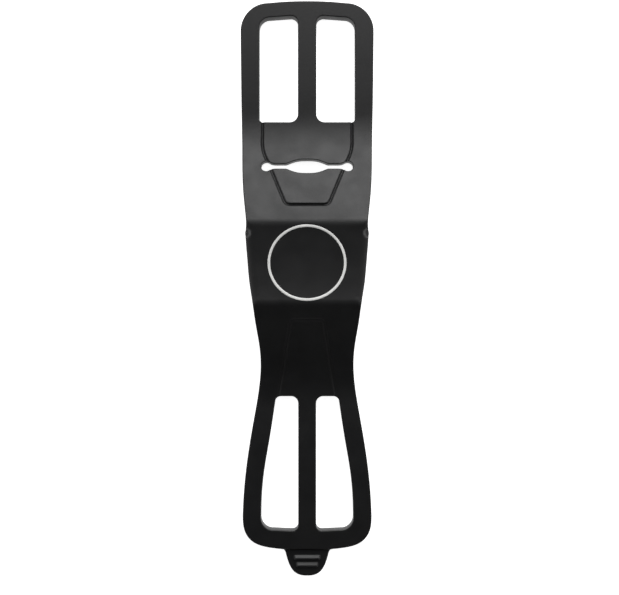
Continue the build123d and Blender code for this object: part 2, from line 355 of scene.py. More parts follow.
def slot_edge():
    """The right half of the slot's edge: its lower lip, round the end hole, and back by its upper lip."""
    x = np.concatenate((np.linspace(0, 11.6, 60), HOLE_X - 1.7 * np.cos(np.linspace(0, math.pi / 2, 24))))
    lower = np.stack([x, SLOT_Y - slot_half(x)], axis=1)
    turn = np.linspace(-math.pi / 2, math.pi / 2, 40)
    end = np.stack([HOLE_X + HOLE_RADIUS * np.cos(turn), SLOT_Y + HOLE_RADIUS * np.sin(turn)], axis=1)
    upper = lower[::-1] * (1, -1) + (0, 2 * SLOT_Y)
    return np.concatenate((lower, end, upper))


def window_edges():
    """The closed edges of the right-hand windows."""
    upper = np.concatenate((
        quarter(UPPER_INNER_FOOT, 60)[::-1], quarter(UPPER_OUTER_FOOT, 40),
        quarter(UPPER_OUTER_HEAD, 70)[::-1], quarter(UPPER_INNER_HEAD, 60),
    ))
    lower = np.concatenate((
        quarter(LOWER_INNER_HEAD, 60)[::-1], quarter(LOWER_OUTER_HEAD, 50),
        lower_window_side(LOWER_WINDOW_SIDE[0][1], LOWER_WINDOW_SIDE[-1][1], 160),
        quarter(LOWER_OUTER_FOOT, 70)[::-1],
        quarter(LOWER_INNER_FOOT, 60),
    ))
    return [np.concatenate((edge, edge[:1])) for edge in (upper, lower)]


OUTLINE = np.concatenate((
    TOP_CURVE, CORNER_CURVE, side(SIDE[0][1], SIDE[-1][1], 600), FOOT_CURVE, TAB_ROOT_CURVE, TAB_CURVE,
))


def filled(curve, step):
    """The curve with points added so that none of its steps is longer than a given step."""
    along = np.concatenate(([0], np.cumsum(np.linalg.norm(np.diff(curve, axis=0), axis=1))))
    keep = np.concatenate(([True], np.diff(along) > 1e-9))
    at = np.unique(np.concatenate((along[keep], np.arange(0, along[-1], step))))
    return np.stack([np.interp(at, along[keep], curve[keep, k]) for k in (0, 1)], axis=1)


def gap_to(curves, points):
    """Distance from each point to the nearest of several curves: nearest sample, then the runs beside it."""
    curves = [filled(c, 0.3) for c in curves]
    start = np.concatenate([c[:-1] for c in curves])
    run = np.concatenate([np.diff(c, axis=0) for c in curves])
    middle = start + run / 2
    best = np.full(len(points), np.inf)
    for block in np.array_split(np.arange(len(points)), max(1, len(points) // 4000)):
        p = points[block]
        square = (p**2).sum(1)[:, None] + (middle**2).sum(1) - 2 * p @ middle.T
        near = np.argpartition(square, 3, axis=1)[:, :4]
        to = p[:, None] - start[near]
        share = np.clip((to * run[near]).sum(2) / (run[near] ** 2).sum(2), 0, 1)
        best[block] = np.linalg.norm(to - share[..., None] * run[near], axis=2).min(1)
    return best


EDGES = [OUTLINE, *window_edges(), slot_edge()]
SHIELD = [turned(SHIELD_TOP, 3.6), turned(SHIELD_FOOT, 1.5)]
FAINT = [turned(TRAPEZOID, 1.3)]


# ---- heights


def strap_height(out, slope, sizes, under):
    """Height of a strap at a distance out from its ridge: a straight fall, a circular bend, then level."""
    radius = sizes.bend_radius
    fall = sizes.pad_height - sizes.thickness - radius * (1 - math.cos(slope))
    bend_end = fall / math.tan(slope) + radius * math.sin(slope)
    radius += sizes.thickness if under else 0
    centre = sizes.thickness + sizes.bend_radius
    bend_start = bend_end - radius * math.sin(slope)
    level = 0.0 if under else sizes.thickness
    straight = centre - radius * math.cos(slope) + (bend_start - out) * math.tan(slope)
    bend = centre - np.sqrt(np.clip(radius**2 - (bend_end - out) ** 2, 0, None))
    return np.where(out < bend_start, straight, np.where(out < bend_end, bend, level))


def soft_min(a, b, reach):
    """The lower of two heights, rounded where they differ by less than reach."""
    near = np.clip(reach - np.abs(a - b), 0, None)
    return np.minimum(a, b) - near**2 / (4 * reach)


def top_height(y, sizes):
    """The top surface along Y: the lowest of the two straps and of the pad's shallow parabola."""
    half = (UPPER_RIDGE - LOWER_RIDGE) / 2
    pad = sizes.pad_height - sizes.dish * (1 - ((y - PAD_MIDDLE) / half) ** 2)
    upper = strap_height(y - UPPER_RIDGE, sizes.upper_slope, sizes, under=False)
    lower = strap_height(LOWER_RIDGE - y, sizes.lower_slope, sizes, under=False)
    return soft_min(soft_min(pad, upper, 0.7), lower, 0.75)


def under_height(y, sizes, saddle):
    """The underside along Y: the straps' underside or, under the pad, level lips and the bar's arch."""
    upper = strap_height(y - UPPER_RIDGE, sizes.upper_slope, sizes, under=True)
    lower = strap_height(LOWER_RIDGE - y, sizes.lower_slope, sizes, under=True)
    strap = np.where(y > PAD_MIDDLE, upper, lower)
    if not saddle:
        return strap
    away = np.abs(y - PAD_MIDDLE)
    bar_z = sizes.saddle_apex - sizes.saddle_radius
    arch = bar_z + np.sqrt(np.clip(sizes.saddle_radius**2 - away**2, 0, None))
    lip = sizes.lip_height + rounded(PAD_HIGH - PAD_MIDDLE - away, 0.8, 0.8)
    return np.maximum(lip, arch)


def rounded(inward, width, depth):
    """How far a rounded edge has dropped at a distance inward: a quarter ellipse, nothing past its width."""
    share = np.clip(1 - inward / width, 0, 1)
    return depth * (1 - np.sqrt(1 - share**2))


def smooth_step(value, low, high):
    """0 below low, 1 above high, and a smooth rise between."""
    t = np.clip((value - low) / (high - low), 0, 1)
    return t * t * (3 - 2 * t)


def on_pad(y):
    """1 on the pad and 0 on the straps, changing over a short stretch at each ridge."""
    return smooth_step(y, PAD_LOW - 1.5, PAD_LOW + 2.5) * (1 - smooth_step(y, PAD_HIGH - 2.5, PAD_HIGH + 1.0))


def surface(points, sizes, saddle=False):
    """Top and underside heights at plan points, with the edges, grooves, scoops and ribs worked in."""
    x, y = np.abs(points[:, 0]), points[:, 1]
    folded = np.stack([x, y], axis=1)
    inward = gap_to(EDGES, folded)
    inward[inward < 4e-3] = 0
    top = top_height(y, sizes)
    under = under_height(y, sizes, saddle)
    tab = 1 - smooth_step(y, -86.9, -86.3)
    top = top - tab * TAB_DROP

    roll = on_pad(y)
    width = sizes.edge_round + roll * (sizes.pad_roll - sizes.edge_round)
    depth = sizes.edge_round + roll * 0.45 - tab * 0.1
    top = top - rounded(inward, width, depth)
    under = under + rounded(inward, sizes.under_round, sizes.under_round)

    for lines, half, deep in ((SHIELD, sizes.groove_half, sizes.groove_depth),
                              (FAINT, 1.2 * sizes.groove_half, sizes.faint_depth)):
        across = np.clip(gap_to(lines, folded) / half, 0, 1)
        top = top - deep * (0.5 + 0.5 * np.cos(math.pi * across))

    scoop = np.hypot((side_x(y) - x) / SCOOP_HALF_WIDTH, (y - SCOOP_Y) / SCOOP_HALF_LENGTH)
    top = top - SCOOP_DEPTH * (1 - smooth_step(scoop, 0.4, 1.0))

    for half, place in RIBS:
        rib = smooth_step(half - x, -0.3, 0.3) * smooth_step(y, place - 0.75, place - 0.35)
        rib = rib * (1 - smooth_step(y, place - 0.1, place + 1.1))
        top = top + RIB_HEIGHT * rib
    return top, under


# ---- plan grids


def edge_steps(round_mm):
    """Distances in from an edge that follow its rounding: one minus the cosine of equal turns."""
    return round_mm * (1 - np.cos(np.linspace(0, math.pi / 2, 7)[:-1]))


def shares(width, count, near=True, far=True, round_mm=0.8):
    """Places from 0 to 1 across each width, bunched at the edges that are rounded."""
    width = np.atleast_1d(np.asarray(width, float))[:, None]
    steps = edge_steps(round_mm)[None]
    middle_low = round_mm if near else 0.0
    middle_high = width - (round_mm if far else 0.0)
    middle = middle_low + (middle_high - middle_low) * np.linspace(0, 1, count)[None]
    columns = [np.repeat(steps, len(width), 0)] if near else []
    columns.append(middle)
    if far:
        columns.append(width - steps[:, ::-1])
    return np.concatenate(columns, axis=1) / width


def ruled(left, right, across):
    """A grid whose rows are straight lines from the left curve to the right curve."""
    return left[:, None] + across[..., None] * (right - left)[:, None]


def banded(inner, outer, count):
    """A ruled grid between two edges, with its columns bunched at both."""
    return ruled(inner, outer, shares(np.linalg.norm(outer - inner, axis=1), count))


def from_middle(edge, count=22):
    """A ruled grid from the plane x = 0 straight out to an edge, with its columns bunched there."""
    middle = edge * (0, 1)
    return ruled(middle, edge, shares(edge[:, 0], count, near=False))


def rows_between(low, high, step, near=False, far=False):
    """Heights from low to high in near equal steps, bunched at an end that is rounded."""
    count = max(3, int(math.ceil(abs(high - low) / step)))
    return low + (high - low) * shares(abs(high - low), count, near, far)[0]


def half_row(edge, breaks, counts, last):
    """Columns from the plane x = 0 to each row's edge: fixed ones between the breaks, the first span
    bunched at its far end, then shares of what is left."""
    edge = np.atleast_1d(edge)
    spans = [breaks[0] * shares(breaks[0], counts[0], near=False)[0]]
    spans += [np.linspace(a, b, n + 1)[1:] for a, b, n in zip(breaks, breaks[1:], counts[1:])]
    fixed = np.concatenate(spans)[:-1]
    rest = breaks[-1] + (edge - breaks[-1])[:, None] * shares(edge - breaks[-1], last)
    return np.concatenate((np.repeat(fixed[None], len(edge), 0), rest), axis=1)


def upper_row(edge):
    """Columns above the pad, with breaks that suit the upper windows and the slot's end holes."""
    return half_row(edge, (UPPER_INNER_FOOT[0][0], HOLE_X, UPPER_OUTER_FOOT[0][0]), (22, 44, 11), 24)


def lower_row(edge):
    """Columns below the pad, as many as above it, with breaks that suit the lower windows."""
    return half_row(edge, (LOWER_INNER_HEAD[0][0], LOWER_OUTER_HEAD[0][0]), (28, 25), 48)


def level_rows(y, x):
    """A grid of level rows from each row's y and its columns' x."""
    return np.stack([x, np.repeat(y[:, None], x.shape[1], 1)], axis=-1)


def columns_between(x, low, high, across):
    """A grid of upright columns from each column's low end to its high end."""
    y = low + across * (high - low)
    return np.stack([np.repeat(x[None], len(y), 0), y], axis=-1)


def columns(x, low, high, count, near=True, far=True):
    """Upright columns between two edges, each with its points bunched at the edges that are rounded."""
    return columns_between(x, low, high, shares(np.abs(high - low), count, near, far).T)


def mirrored(blocks):
    """The same grids on the other side of the plane x = 0."""
    return [block * np.array([-1.0, 1.0]) for block in blocks]


def plate(name, blocks, saddle=False):
    """A closed piece from plan grids: top and underside are heights over one plan mesh, and its border
    is walled. Grids that share a side are welded there, by rounding plan points to a micron."""
    corners = []
    for block in blocks:
        rows, columns = block.shape[:2]
        index = np.arange(rows * columns).reshape(rows, columns)
        quad = np.stack([index[:-1, :-1], index[:-1, 1:], index[1:, 1:], index[1:, :-1]], -1)
        corners.append(block.reshape(-1, 2)[quad.reshape(-1, 4)])
    corners = np.concatenate(corners)
    area = np.zeros(len(corners))
    for a, b in ((0, 1), (1, 2), (2, 3), (3, 0)):
        area += corners[:, a, 0] * corners[:, b, 1] - corners[:, b, 0] * corners[:, a, 1]
    corners[area < 0] = corners[area < 0][:, ::-1]
    corners = corners[np.abs(area) > 1e-7]
    key = np.floor(corners.reshape(-1, 2) / 1e-3 + 0.3137).astype(np.int64)
    _, first, weld = np.unique(key, axis=0, return_index=True, return_inverse=True)
    plan = corners.reshape(-1, 2)[first]
    quads = weld.reshape(-1, 4)

    top, under = surface(plan, sizes_now(), saddle)
    count = len(plan)
    edge = np.stack([quads, np.roll(quads, -1, axis=1)], -1).reshape(-1, 2)
    edge = edge[edge[:, 0] != edge[:, 1]]
    forward, backward = edge @ (count, 1), edge @ (1, count)
    border = edge[~np.isin(forward, backward)]
    points = np.concatenate((np.column_stack((plan, top)), np.column_stack((plan, under))))
    a, b = border.T
    walls = np.stack([a, a + count, b + count, b], axis=1)
    faces = np.concatenate((quads, quads[:, ::-1] + count, walls))
    return closed_mesh(name, points * MM, faces)


def closed_mesh(name, points, faces):
    """An object from points and four-sided faces; a face with a repeated corner becomes a triangle."""
    repeated = faces == np.roll(faces, -1, axis=1)
    whole = faces[~repeated.any(1)]
    short = faces[repeated.sum(1) == 1]
    short = short[~repeated[repeated.sum(1) == 1]].reshape(-1, 3)
    mesh = bpy.data.meshes.new(name)
    mesh.from_pydata(points.tolist(), [], whole.tolist() + short.tolist())
    mesh.validate()
    mesh.shade_smooth()
    mesh.set_sharp_from_angle(angle=math.radians(50))
    obj = bpy.data.objects.new(name, mesh)
    bpy.context.scene.collection.objects.link(obj)
    return obj


# ---- the sections' plans; each is the right half, or the right-hand one of a pair


def pad_plan():
    """Level rows whose columns shift evenly from the upper straps' columns to the lower straps'."""
    y = rows_between(PAD_LOW, PAD_HIGH, 0.25, near=True, far=True)
    edge = side_x(y)
    share = ((y - PAD_LOW) / (PAD_HIGH - PAD_LOW))[:, None]
    return [level_rows(y, share * upper_row(edge) + (1 - share) * lower_row(edge))]


def upper_crease_plan():
    """Level rows from the pad to the strap above it."""
    y = rows_between(PAD_HIGH, UPPER_CREASE_END, 0.25, near=True)
    return [level_rows(y, upper_row(side_x(y)))]


def upper_strap_plan():
    """Level rows, then upright columns that end on the slot's lower lip, and a shoulder beside them."""
    turn = SLOT_LOW - 2.2
    y = rows_between(UPPER_CREASE_END, turn, 0.17)
    whole = upper_row(side_x(y))
    inner = whole[0] <= HOLE_X + 1e-6
    x = whole[0][inner]
    lip = columns(x, np.full(len(x), turn), SLOT_Y - slot_half(x), 14, near=False)
    rise = np.linspace(turn, SLOT_LOW, 14)
    outer = upper_row(side_x(rise))[:, np.flatnonzero(inner)[-1]:]
    return [level_rows(y, whole), lip, level_rows(rise, outer)]


def upper_yoke_plan():
    """Upright columns that start on the slot's upper lip, a shoulder beside them, then level rows."""
    turn = SLOT_HIGH + 2.2
    y = rows_between(turn, UPPER_WINDOW_LOW, 0.17, far=True)
    whole = upper_row(side_x(y))
    inner = whole[0] <= HOLE_X + 1e-6
    x = whole[0][inner]
    lip = columns(x, SLOT_Y + slot_half(x), np.full(len(x), turn), 14, far=False)
    rise = np.linspace(SLOT_HIGH, turn, 14)
    outer = upper_row(side_x(rise))[:, np.flatnonzero(inner)[-1]:]
    return [lip, level_rows(rise, outer), level_rows(y, whole)]


def slot_band_plan():
    """Rows from the straight cut and the end hole's rim out to the mount's side."""
    turn = np.linspace(-math.pi / 2, math.pi / 2, 48)
    rim = np.stack([HOLE_X + HOLE_RADIUS * np.cos(turn), SLOT_Y + HOLE_RADIUS * np.sin(turn)], axis=1)
    low, high = SLOT_Y - HOLE_RADIUS, SLOT_Y + HOLE_RADIUS
    inner = np.concatenate((line((HOLE_X, SLOT_LOW), (HOLE_X, low), 6), rim,
                            line((HOLE_X, high), (HOLE_X, SLOT_HIGH), 6)))
    outer = np.concatenate((side(SLOT_LOW, low, 6), side(low, high, 48), side(high, SLOT_HIGH, 6)))
    return [banded(inner, outer, 28)]


def upper_bar_plan():
    """The bar between the upper windows with its flared foot and head, and the strip across its end."""
    cut = UPPER_END_WEB[0]
    (head_x, head_y), (bar_x, foot_y) = UPPER_INNER_HEAD
    turn = math.asin((head_x - cut) / (head_x - bar_x))
    angles = np.linspace(math.pi / 2, turn, 16)
    head = np.stack([head_x - (head_x - bar_x) * np.sin(angles),
                     head_y - (head_y - foot_y) * (1 - np.cos(angles))], axis=1)
    head[-1, 0] = cut
    body = line(UPPER_INNER_FOOT[1], UPPER_INNER_HEAD[1], 130)
    edge = np.concatenate((quarter(UPPER_INNER_FOOT, 20), body, head))
    x = cut * shares(cut, 22, near=False)[0]
    strip = columns(x, np.full(len(x), head[-1, 1]), at_x(TOP_CURVE, x), 24)
    return [from_middle(edge), strip]


def upper_end_web_plan():
    """Upright columns from the window's edge to the mount's end."""
    x = np.concatenate((np.linspace(UPPER_END_WEB[0], UPPER_INNER_HEAD[0][0], 6),
                        np.linspace(UPPER_INNER_HEAD[0][0], UPPER_END_WEB[1], 18)[1:]))
    return [columns(x, at_x(WINDOW_HEAD, x), at_x(TOP_CURVE, x), 24)]


def upper_loop_plan():
    """A band round the window's outer side: along the end, round the corner and down to the rail."""
    cut = UPPER_END_WEB[1]
    inner = np.concatenate((
        run_in_x(WINDOW_HEAD, cut, UPPER_OUTER_HEAD[0][0], 17), quarter(UPPER_OUTER_HEAD, 50),
        line(UPPER_OUTER_HEAD[1], (UPPER_OUTER_HEAD[1][0], UPPER_RAIL_CUT), 100)))
    outer = np.concatenate((
        run_in_x(TOP_CURVE, cut, TOP_ARC[2][0], 17), arc(CORNER_ARC, 50),
        side(CORNER_ARC[2][1], UPPER_RAIL_CUT, 100)))
    return [banded(inner, outer, 24)]


def upper_rail_web_plan():
    """The first stretch of the rail beside the window, with the window corner's fillet."""
    corner_y = UPPER_OUTER_FOOT[1][1]
    inner = np.concatenate((quarter(UPPER_OUTER_FOOT, 12),
                            line(UPPER_OUTER_FOOT[1], (UPPER_OUTER_FOOT[1][0], UPPER_RAIL_CUT), 15)))
    outer = np.concatenate((side(UPPER_WINDOW_LOW, corner_y, 12), side(corner_y, UPPER_RAIL_CUT, 15)))
    return [banded(inner, outer, 24)]


def lower_level_plan(low, high, near=False, far=False):
    """Level rows across the mount between two cuts below the pad."""
    y = rows_between(high, low, 0.25, near, far)
    return [level_rows(y, lower_row(side_x(y)))]


def lower_bar_plan():
    """The bar between the lower windows, flared at both ends, and the middle of the frame's foot."""
    edge = np.concatenate((
        quarter(LOWER_INNER_HEAD, 20), line(LOWER_INNER_HEAD[1], LOWER_INNER_FOOT[1], 160),
        quarter(LOWER_INNER_FOOT, 20)[::-1]))
    first, last = LOWER_INNER_FOOT[0][0], LOWER_END_WEB[0]
    middle = first * shares(first, 28, near=False)[0]
    wing = np.linspace(first, last, 10)
    foot = [columns(x, at_x(WINDOW_FOOT, x.clip(first)), np.full(len(x), TAB_CUT), 48, far=False)
            for x in (middle, wing)]
    return [from_middle(edge, 28), *foot]


def lower_end_web_plan():
    """Upright columns from the window's edge to the frame's foot, and the sliver beside the tab's root."""
    cut = float(at_y(FOOT_EDGE, TAB_CUT))
    first, last = LOWER_END_WEB
    root = np.linspace(first, cut, 9)
    x = np.concatenate((root, np.linspace(cut, LOWER_OUTER_FOOT[0][0], 16)[1:],
                        np.linspace(LOWER_OUTER_FOOT[0][0], last, 3)[1:]))
    low = np.maximum(at_x(FOOT_EDGE, x), TAB_CUT)
    low[x <= cut] = TAB_CUT
    tip = at_x(FOOT_EDGE, root)
    tip[-1] = TAB_CUT
    sliver = columns_between(root, np.full(9, TAB_CUT), tip, np.linspace(0, 1, 9)[:, None])
    return [columns(x, at_x(WINDOW_FOOT, x), low, 48), sliver]


def lower_loop_plan():
    """A band round the window's outer side: round the foot's corner and up to the rail."""
    cut = LOWER_END_WEB[1]
    corner_x, corner_y = LOWER_OUTER_FOOT[1]
    inner = np.concatenate((
        run_in_x(WINDOW_CORNER, cut, corner_x, 64), lower_window_side(corner_y, LOWER_RAIL_CUT, 140)))
    outer = np.concatenate((
        run_in_x(FOOT_CURVE, cut, FOOT[0][0], 64), side(FOOT[0][1], LOWER_RAIL_CUT, 140)))
    return [banded(inner, outer, 48)]


def lower_rail_web_plan():
    """The first stretch of the lower rail, with the window corner's fillet."""
    corner_y = LOWER_OUTER_HEAD[1][1]
    inner = np.concatenate((quarter(LOWER_OUTER_HEAD, 16), lower_window_side(corner_y, LOWER_RAIL_CUT, 12)))
    outer = np.concatenate((side(LOWER_WINDOW_HIGH, corner_y, 16), side(corner_y, LOWER_RAIL_CUT, 12)))
    return [banded(inner, outer, 48)]


def tab_web_plan():
    """Level rows across the tab's root, no wider than the cut beside it."""
    y = rows_between(TAB_CUT, TAB_LOW, 0.12)
    edge = np.stack([np.minimum(at_y(FOOT_EDGE, y), LOWER_END_WEB[0]), y], axis=1)
    return [from_middle(edge, 40)]


def pull_tab_plan():
    """A fan of rows from a short spine to the tab's rounded edge."""
    edge = TAB_CURVE[TAB_CURVE[:, 1] < TAB_LOW]
    start = np.array([[float(at_y(TAB_CURVE, TAB_LOW)), TAB_LOW]])
    edge = np.concatenate((start, edge))
    spine = np.stack([np.zeros(len(edge)), np.linspace(TAB_LOW, TIP_Y + 3.4, len(edge))], axis=1)
    across = shares(np.linalg.norm(edge - spine, axis=1), 40, near=False)
    return [ruled(spine, edge, across)]


WINDOW_HEAD = np.concatenate((quarter(UPPER_INNER_HEAD, 400)[::-1], quarter(UPPER_OUTER_HEAD, 400)))
WINDOW_FOOT = np.concatenate((quarter(LOWER_INNER_FOOT, 400)[::-1], quarter(LOWER_OUTER_FOOT, 400)))
WINDOW_CORNER = quarter(LOWER_OUTER_FOOT, 400)
FOOT_EDGE = np.concatenate((FOOT_CURVE, TAB_ROOT_CURVE[1:], TAB_CURVE[1:]))


# ---- finishes


def add(tree, kind, inputs=(), **settings):
    """Adds a node, gives it its settings, and sets or links each input named."""
    made = tree.nodes.new(kind)
    for key, value in settings.items():
        setattr(made, key, value)
    for key, value in dict(inputs).items():
        if isinstance(value, bpy.types.NodeSocket):
            tree.links.new(value, made.inputs[key])
        else:
            made.inputs[key].default_value = value
    return made


def per(millimetres):
    """The texture scale at which a pattern's features are about that size in object coordinates."""
    return 1 / (millimetres * MM)


def blank(name):
    """A new material with an empty tree, its object coordinates and its output."""
    old = bpy.data.materials.get(name)
    if old:
        return old, None, None, None
    made = bpy.data.materials.new(name)
    made.use_nodes = True
    tree = made.node_tree
    tree.nodes.clear()
    place = add(tree, "ShaderNodeTexCoord").outputs["Object"]
    return made, tree, place, add(tree, "ShaderNodeOutputMaterial")


def silicone():
    """Moulded black silicone: a satin skin that the eye reads from soft wide highlights, a faint
    eggshell grain, slow changes of sheen from handling, and a few pale dust specks."""
    made, tree, place, out = blank("moulded_black_silicone")
    if tree is None:
        return made
    tone = bpy.context.scene.phone_mount_colours.silicone
    grain = add(tree, "ShaderNodeTexNoise", {"Vector": place, "Scale": per(0.9), "Detail": 5.0})
    sheen = add(tree, "ShaderNodeTexNoise", {"Vector": place, "Scale": per(7.0), "Detail": 5.0})
    rough = add(tree, "ShaderNodeMapRange", {
        "Value": sheen.outputs["Fac"], "From Min": 0.3, "From Max": 0.7, "To Min": 0.44, "To Max": 0.54})
    dust = add(tree, "ShaderNodeTexVoronoi", {"Vector": place, "Scale": per(3.2), "Randomness": 1.0})
    speck = add(tree, "ShaderNodeMapRange", {
        "Value": dust.outputs["Distance"], "From Min": 0.012, "From Max": 0.03, "To Min": 1.0, "To Max": 0.0})
    base = add(tree, "ShaderNodeMix", {
        0: speck.outputs["Result"], 6: tuple(tone), 7: linear("#2c2c2c")}, data_type="RGBA")
    bump = add(tree, "ShaderNodeBump", {
        "Height": grain.outputs["Fac"], "Strength": 0.6, "Distance": 0.03 * MM})
    skin = add(tree, "ShaderNodeBsdfPrincipled", {
        "Base Color": base.outputs[2], "Roughness": rough.outputs["Result"], "IOR": 1.43,
        "Normal": bump.outputs["Normal"]})
    tree.links.new(skin.outputs[0], out.inputs["Surface"])
    return made


def print_ink():
    """Pad-printed white silicone ink: a thin satin film, not quite even in how much black it hides."""
    made, tree, place, out = blank("pad_printed_white_ink")
    if tree is None:
        return made
    tone = bpy.context.scene.phone_mount_colours.ink
    cover = add(tree, "ShaderNodeTexNoise", {"Vector": place, "Scale": per(1.2), "Detail": 4.0})
    thin = add(tree, "ShaderNodeMapRange", {
        "Value": cover.outputs["Fac"], "From Min": 0.35, "From Max": 0.75, "To Min": 0.0, "To Max": 0.25})
    base = add(tree, "ShaderNodeMix", {
        0: thin.outputs["Result"], 6: tuple(tone), 7: linear("#b9b9b7")}, data_type="RGBA")
    bump = add(tree, "ShaderNodeBump", {
        "Height": cover.outputs["Fac"], "Strength": 0.2, "Distance": 0.02 * MM})
    skin = add(tree, "ShaderNodeBsdfPrincipled", {
        "Base Color": base.outputs[2], "Roughness": 0.42, "Normal": bump.outputs["Normal"]})
    tree.links.new(skin.outputs[0], out.inputs["Surface"])
    return made


# ---- operators


def section(node, plan, ride=None, bend=None, saddle=False):
    """Builds one section, dresses it, stands it for its CAD node, and hangs it on its body; a section given a
    bend is left where it is, on no body.
    bend is (one body, the other, where the bend starts, where it ends), in millimetres; only whether it is
    given is used, and its values are not used."""
    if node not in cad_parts:
        raise RuntimeError(f"the frame has no node {node}")
    obj = plate("silicone_" + node, plan, saddle)
    obj.data.materials.append(silicone())
    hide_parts(node)
    if bend:
        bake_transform(obj)
    else:
        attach(obj, ride)


def whole(plan):
    """A right half and its mirror image."""
    return plan + mirrored(plan)


def on_side(plan, hand):
    """The right-hand plan, or its mirror image for the left hand."""
    return plan if hand == "right" else mirrored(plan)


def along_y(low, high):
    """Two points on the middle plane, at two places along Y."""
    return (0, low, 0), (0, high, 0)


def along_x(cuts, sign):
    """Two points on the middle line across, at a web's two cuts, on the side that sign gives."""
    return (sign * cuts[0], 0, 0), (sign * cuts[1], 0, 0)


class PHONEMOUNT_OT_pad(bpy.types.Operator):
    """Build the pad that sits on the bar"""

    bl_idname = "phonemount.pad"
    bl_label = "Saddle pad"

    def execute(self, context):
        section("saddle_pad", whole(pad_plan()), ride="pad", saddle=True)
        return {"FINISHED"}


class PHONEMOUNT_OT_ring(bpy.types.Operator):
    """Build the printed ring on the pad"""

    bl_idname = "phonemount.ring"
    bl_label = "Printed ring"

    def execute(self, context):
        """A flat band bent over the pad: round a circle, and across a low four-sided section."""
        sizes = sizes_now()
        low, high = box_mm("badge_ring")
        centre = (low + high)[:2] / 2
        turn = np.linspace(0, 2 * math.pi, 240, endpoint=False)[:, None]
        outer, inner = sizes.ring_radius, sizes.ring_radius - sizes.ring_band
        radius = np.array([inner, inner + 0.08, outer - 0.08, outer, outer - 0.05, inner + 0.05])
        proud = np.array([-0.02, 0.035, 0.035, -0.02, -0.2, -0.2])
        x = centre[0] + radius * np.cos(turn)
        y = centre[1] + (radius - 0.035 * outer) * np.sin(turn)
        top, _ = surface(np.stack([x.ravel(), y.ravel()], 1), sizes, saddle=True)
        points = np.stack([x, y, top.reshape(x.shape) + proud], axis=-1).reshape(-1, 3)
        index = np.arange(x.size).reshape(x.shape)
        ahead = np.roll(index, -1, axis=0)
        faces = np.stack([index, ahead, np.roll(ahead, -1, 1), np.roll(index, -1, 1)], -1).reshape(-1, 4)
        obj = closed_mesh("print_badge_ring", points * MM, faces)
        obj.data.materials.append(print_ink())
        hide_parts("badge_ring")
        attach(obj, "pad")
        return {"FINISHED"}


class PHONEMOUNT_OT_straps(bpy.types.Operator):
    """Build the two straps that fall from the pad, and the soft creases they hinge on"""

    bl_idname = "phonemount.straps"
    bl_label = "Straps and creases"

    def execute(self, context):
        section("upper_crease_web", whole(upper_crease_plan()),
                bend=("pad", "upper_slope", *along_y(PAD_HIGH, UPPER_CREASE_END)))
        section("upper_strap", whole(upper_strap_plan()), ride="upper_slope")
        section("lower_crease_web", whole(lower_level_plan(LOWER_CREASE_END, PAD_LOW, near=True)),
                bend=("pad", "lower_slope", *along_y(PAD_LOW, LOWER_CREASE_END)))
        section("lower_strap", whole(lower_level_plan(WAIST_HIGH, LOWER_CREASE_END)), ride="lower_slope")
        return {"FINISHED"}


class PHONEMOUNT_OT_upper_frame(bpy.types.Operator):
    """Build the yoke above the slot, the bands beside the slot, and the bar between the windows"""

    bl_idname = "phonemount.upper_frame"
    bl_label = "Upper frame"

    def execute(self, context):
        for hand in ("left", "right"):
            section("slot_band_" + hand, on_side(slot_band_plan(), hand),
                    bend=("upper_slope", "upper_frame", *along_y(SLOT_LOW, SLOT_HIGH)))
        section("upper_yoke", whole(upper_yoke_plan()), ride="upper_frame")
        section("upper_centre_bar", whole(upper_bar_plan()), ride="upper_frame")
        return {"FINISHED"}


class PHONEMOUNT_OT_upper_loops(bpy.types.Operator):
    """Build the two upper stretch loops and the webs that join them to the frame"""

    bl_idname = "phonemount.upper_loops"
    bl_label = "Upper loops"

    def execute(self, context):
        for hand, sign in (("left", -1), ("right", 1)):
            body = "upper_" + hand
            section(f"upper_{hand}_rail_web", on_side(upper_rail_web_plan(), hand),
                    bend=("upper_frame", body, *along_y(UPPER_WINDOW_LOW, UPPER_RAIL_CUT)))
            section(f"upper_{hand}_end_web", on_side(upper_end_web_plan(), hand),
                    bend=("upper_frame", body, *along_x(UPPER_END_WEB, sign)))
            section(f"upper_{hand}_loop", on_side(upper_loop_plan(), hand), ride=body)
        return {"FINISHED"}


class PHONEMOUNT_OT_lower_frame(bpy.types.Operator):
    """Build the waist, the yoke below it, and the bar between the lower windows"""

    bl_idname = "phonemount.lower_frame"
    bl_label = "Lower frame"

    def execute(self, context):
        section("lower_waist_web", whole(lower_level_plan(WAIST_LOW, WAIST_HIGH)),
                bend=("lower_slope", "lower_frame", *along_y(WAIST_HIGH, WAIST_LOW)))
        section("lower_yoke", whole(lower_level_plan(LOWER_WINDOW_HIGH, WAIST_LOW, far=True)),
                ride="lower_frame")
        section("lower_centre_bar", whole(lower_bar_plan()), ride="lower_frame")
        return {"FINISHED"}


class PHONEMOUNT_OT_lower_loops(bpy.types.Operator):
    """Build the two lower stretch loops and the webs that join them to the frame"""

    bl_idname = "phonemount.lower_loops"
    bl_label = "Lower loops"

    def execute(self, context):
        for hand, sign in (("left", -1), ("right", 1)):
            body = "lower_" + hand
            section(f"lower_{hand}_rail_web", on_side(lower_rail_web_plan(), hand),
                    bend=("lower_frame", body, *along_y(LOWER_WINDOW_HIGH, LOWER_RAIL_CUT)))
            section(f"lower_{hand}_end_web", on_side(lower_end_web_plan(), hand),
                    bend=("lower_frame", body, *along_x(LOWER_END_WEB, sign)))
            section(f"lower_{hand}_loop", on_side(lower_loop_plan(), hand), ride=body)
        return {"FINISHED"}


